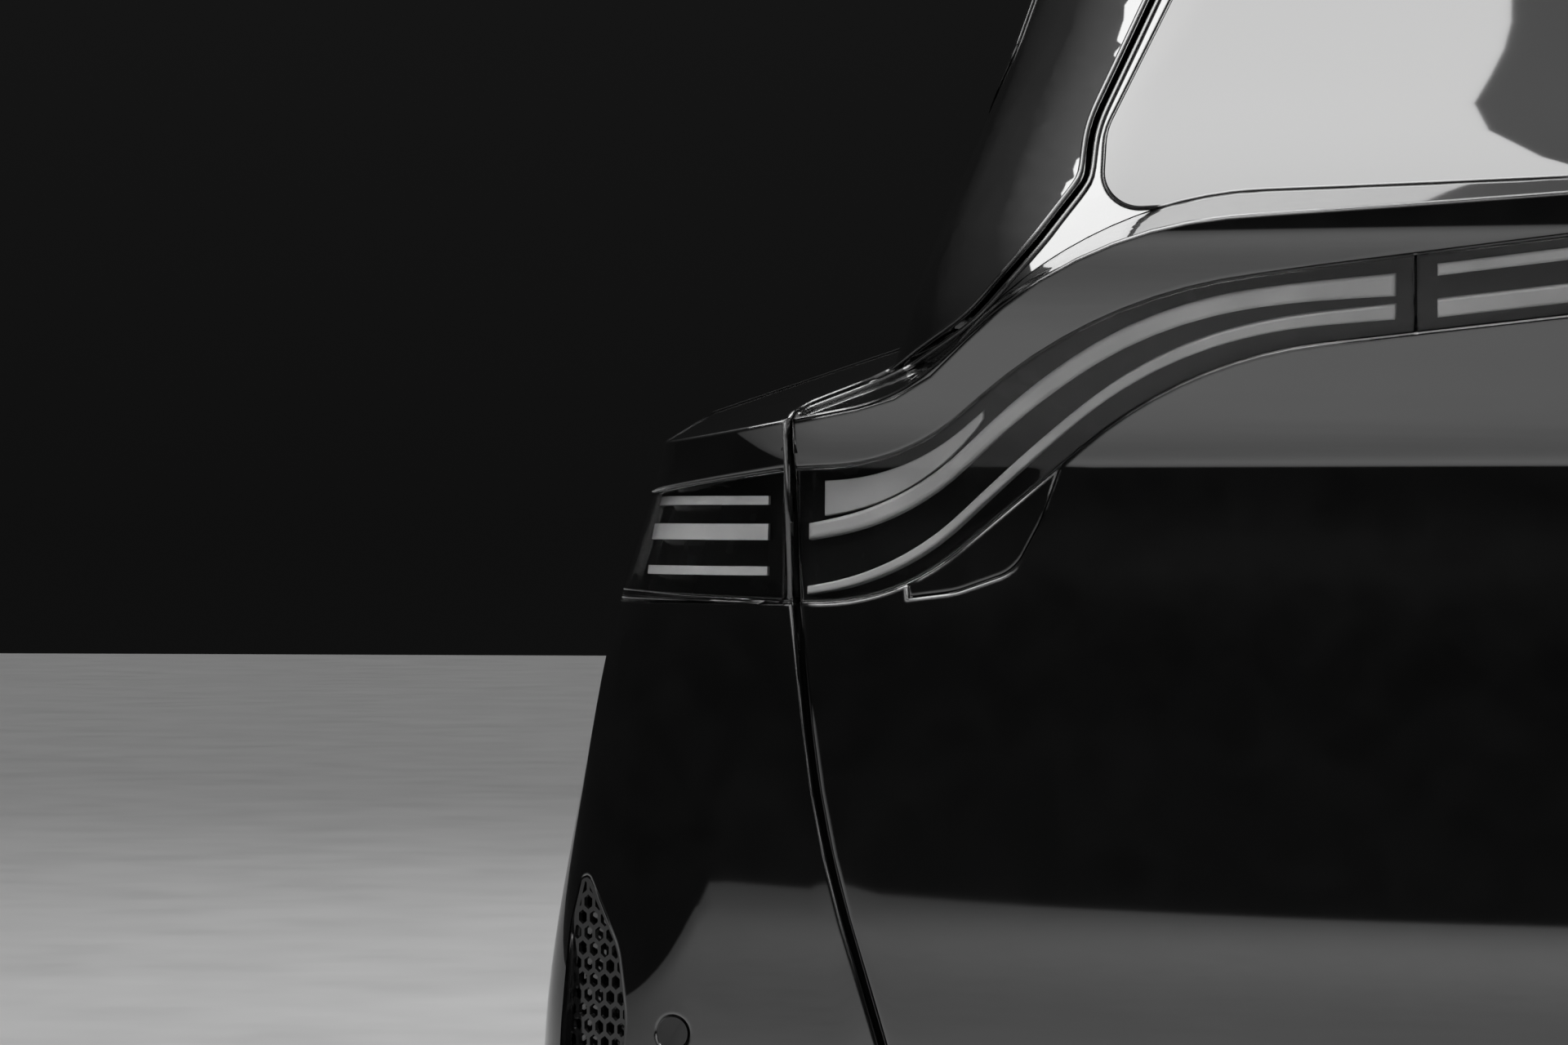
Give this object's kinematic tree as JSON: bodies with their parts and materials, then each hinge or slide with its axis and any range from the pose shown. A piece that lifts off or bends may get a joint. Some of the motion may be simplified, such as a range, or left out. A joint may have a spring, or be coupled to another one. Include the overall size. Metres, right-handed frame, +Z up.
{
  "type": "suv rear body section with tailgate",
  "caption": "Black family SUV's rear body section: top-hinged tailgate, full-width wave lamp, bumper with honeycomb corner vents, hollow load space.",
  "frame": {"origin": "middle of the load floor's front face, where the section joins the rest of the body", "axes": "+X to the vehicle's right, +Y forward, +Z up"},
  "size_m": [1.9564, 0.6438, 1.375],
  "materials": {
    "body_paint": "deep gloss black with clear coat",
    "window_glass": "tinted",
    "black_trim": "grained black",
    "lamp_lens": "dark smoked",
    "lamp_tray": "satin dark grey",
    "light_guide": "frosted clear",
    "gloss_black": "polished black",
    "frame_steel": "gloss black",
    "seal_rubber": "matt",
    "floor_cover": "needle felt",
    "inner_trim": "fine grain",
    "red_lens": "ribbed red",
    "bright_steel": "zinc plated",
    "hinge_metal": "satin black",
    "plate_white": "plain white, blank"
  },
  "bodies": {
    "body": {"roof_panel": "body_paint", "side_panel_left": "body_paint", "side_panel_right": "body_paint", "quarter_glasses": "window_glass", "bumper_cover": "body_paint", "lower_trim": "black_trim", "side_lamp_lenses": "lamp_lens", "side_lamp_trays": "lamp_tray", "side_lamp_guides": "light_guide", "corner_grilles": "gloss_black", "aperture_frame": "frame_steel", "aperture_seal": "seal_rubber", "load_floor": "floor_cover", "side_trims": "inner_trim", "parking_sensors": "gloss_black", "rear_reflectors": "red_lens", "latch_striker": "bright_steel", "hinge_bases": "hinge_metal"},
    "tailgate": {"tailgate_shell": "body_paint", "tailgate_trim": "inner_trim", "rear_glass": "window_glass", "wave_lenses": "lamp_lens", "wave_trays": "lamp_tray", "wave_guides": "light_guide", "middle_lens": "lamp_lens", "middle_tray": "lamp_tray", "middle_guides": "light_guide", "roof_spoiler": "body_paint", "stop_lamp": "red_lens", "number_plate": "plate_white", "tailgate_latch": "bright_steel", "hinge_arms": "hinge_metal", "lamp_covers": "body_paint"}
  },
  "joints": [
    {"name": "tailgate_hinge", "type": "hinge", "parent": "body", "child": "tailgate", "pos_m": [0, -0.128, 0.99], "axis": [-1, 0, 0], "range_deg": [0, 75]}
  ]
}
